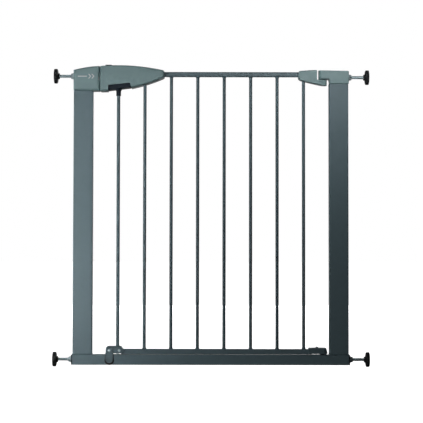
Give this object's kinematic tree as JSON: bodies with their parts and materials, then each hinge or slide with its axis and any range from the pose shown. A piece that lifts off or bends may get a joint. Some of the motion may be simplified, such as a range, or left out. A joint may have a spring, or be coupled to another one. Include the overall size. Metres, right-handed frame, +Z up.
{
  "type": "pressure-fit stair gate with lift latch",
  "caption": "Barred stair gate held between walls by screw pads, with a swinging leaf, a lift-to-open handle latch, a rod lock into the base bar and a flip-down stop tab.",
  "frame": {"origin": "on the floor, midway between the wall pads' faces and midway between front and back", "axes": "+X across the doorway from the latch side to the hinge side, +Y from the front to the back, +Z up"},
  "size_m": [0.7712, 0.04, 0.7366],
  "materials": {
    "frame_paint": "blue-grey powder coat, satin",
    "housing_plastic": "grey-green moulded plastic with a fine grain",
    "black_plastic": "black moulded plastic",
    "pad_rubber": "black rubber",
    "zinc": "bright zinc plate",
    "steel": "plain steel"
  },
  "bodies": {
    "frame": {"post_left": "frame_paint", "post_right": "frame_paint", "base_bar": "frame_paint", "base_end_cap_left": "black_plastic", "base_end_cap_right": "black_plastic", "latch_bush": "black_plastic", "keeper_shell_front": "housing_plastic", "keeper_shell_rear": "housing_plastic", "keeper_core": "black_plastic", "keeper_screw_1": "zinc", "keeper_screw_2": "zinc", "strike_plate": "steel", "hinge_cap": "housing_plastic", "upper_hinge_pin": "zinc", "hinge_washer": "black_plastic", "lower_hinge_pin": "zinc", "lower_hinge_bush": "black_plastic"},
    "leaf": {"top_rail": "frame_paint", "bottom_rail": "frame_paint", "bar_2": "frame_paint", "bar_3": "frame_paint", "bar_4": "frame_paint", "bar_5": "frame_paint", "bar_6": "frame_paint", "bar_7": "frame_paint", "bar_8": "frame_paint", "hinge_arm": "housing_plastic", "lower_hinge_bracket": "frame_paint", "hinge_bracket_screw": "zinc", "latch_bracket": "frame_paint", "rod_guide_bush": "black_plastic", "tab_rivet": "zinc", "bracket_rivet": "zinc", "handle_shell_front": "housing_plastic", "handle_shell_rear": "housing_plastic", "handle_screw_1": "zinc", "handle_screw_2": "zinc", "crank_pin": "steel", "return_spring": "steel"},
    "lift": {"trigger": "black_plastic", "push_rod": "frame_paint", "lock_pin": "zinc"},
    "bolt": {"latch_bolt": "steel"},
    "crank": {"bell_crank": "steel"},
    "thumb": {"thumb_slide": "black_plastic"},
    "tab": {"stop_tab": "frame_paint", "stop_tab_pad": "pad_rubber"},
    "adjuster_top_left": {"spindle_top_left": "zinc", "wall_pad_top_left": "pad_rubber"},
    "adjuster_top_right": {"spindle_top_right": "zinc", "wall_pad_top_right": "pad_rubber"},
    "adjuster_low_left": {"spindle_low_left": "zinc", "wall_pad_low_left": "pad_rubber"},
    "adjuster_low_right": {"spindle_low_right": "zinc", "wall_pad_low_right": "pad_rubber"},
    "nut_top_left": {"nut_top_left": "zinc"},
    "nut_top_right": {"nut_top_right": "zinc"},
    "nut_low_left": {"nut_low_left": "zinc"},
    "nut_low_right": {"nut_low_right": "zinc"}
  },
  "joints": [
    {"name": "leaf_swing", "type": "hinge", "parent": "frame", "child": "leaf", "pos_m": [0.274, 0, 0], "axis": [0, 0, 1], "range_deg": [0, 90]},
    {"name": "trigger_lift", "type": "slide", "parent": "leaf", "child": "lift", "axis": [0, 0, 1], "range_m": [0, 0.01], "stiffness_N_per_m": 400, "springref_m": -0.012, "deforming": ["return_spring"]},
    {"name": "bolt_slide", "type": "slide", "parent": "leaf", "child": "bolt", "axis": [1, 0, 0], "range_m": [0, 0.0116]},
    {"name": "crank_turn", "type": "hinge", "parent": "leaf", "child": "crank", "pos_m": [-0.222, 0, 0.724], "axis": [0, -1, 0], "range_deg": [0, 30.2]},
    {"name": "thumb_push", "type": "slide", "parent": "leaf", "child": "thumb", "axis": [1, 0, 0], "range_m": [0, 0.006], "stiffness_N_per_m": 150, "springref_m": -0.004},
    {"name": "tab_flip", "type": "hinge", "parent": "leaf", "child": "tab", "pos_m": [-0.2459, 0, 0.0399], "axis": [0, 1, 0], "range_deg": [0, 180]},
    {"name": "nut_turn_top_left", "type": "hinge", "parent": "frame", "child": "nut_top_left", "pos_m": [-0.336, 0, 0.71], "axis": [1, 0, 0], "range_deg": [-2881, 4321]},
    {"name": "nut_turn_top_right", "type": "hinge", "parent": "frame", "child": "nut_top_right", "pos_m": [0.3372, 0, 0.7078], "axis": [-1, 0, 0], "range_deg": [-2881, 4321]},
    {"name": "nut_turn_low_left", "type": "hinge", "parent": "frame", "child": "nut_low_left", "pos_m": [-0.339, 0, 0.018], "axis": [1, 0, 0], "range_deg": [-2881, 4321]},
    {"name": "nut_turn_low_right", "type": "hinge", "parent": "frame", "child": "nut_low_right", "pos_m": [0.339, 0, 0.018], "axis": [-1, 0, 0], "range_deg": [-2881, 4321]},
    {"name": "adjust_top_left", "type": "slide", "parent": "frame", "child": "adjuster_top_left", "axis": [-1, 0, 0], "range_m": [-0.01, 0.015]},
    {"name": "adjust_top_right", "type": "slide", "parent": "frame", "child": "adjuster_top_right", "axis": [1, 0, 0], "range_m": [-0.01, 0.015]},
    {"name": "adjust_low_left", "type": "slide", "parent": "frame", "child": "adjuster_low_left", "axis": [-1, 0, 0], "range_m": [-0.01, 0.015]},
    {"name": "adjust_low_right", "type": "slide", "parent": "frame", "child": "adjuster_low_right", "axis": [1, 0, 0], "range_m": [-0.01, 0.015]}
  ],
  "couplings": [
    {"joint": "bolt_slide", "follows": "trigger_lift", "ratio": 1.1579},
    {"joint": "crank_turn", "follows": "trigger_lift", "rad_per_m": 52.632},
    {"joint": "nut_turn_top_left", "follows": "adjust_top_left", "rad_per_m": 5026.5},
    {"joint": "nut_turn_top_right", "follows": "adjust_top_right", "rad_per_m": 5026.5},
    {"joint": "nut_turn_low_left", "follows": "adjust_low_left", "rad_per_m": 5026.5},
    {"joint": "nut_turn_low_right", "follows": "adjust_low_right", "rad_per_m": 5026.5}
  ]
}
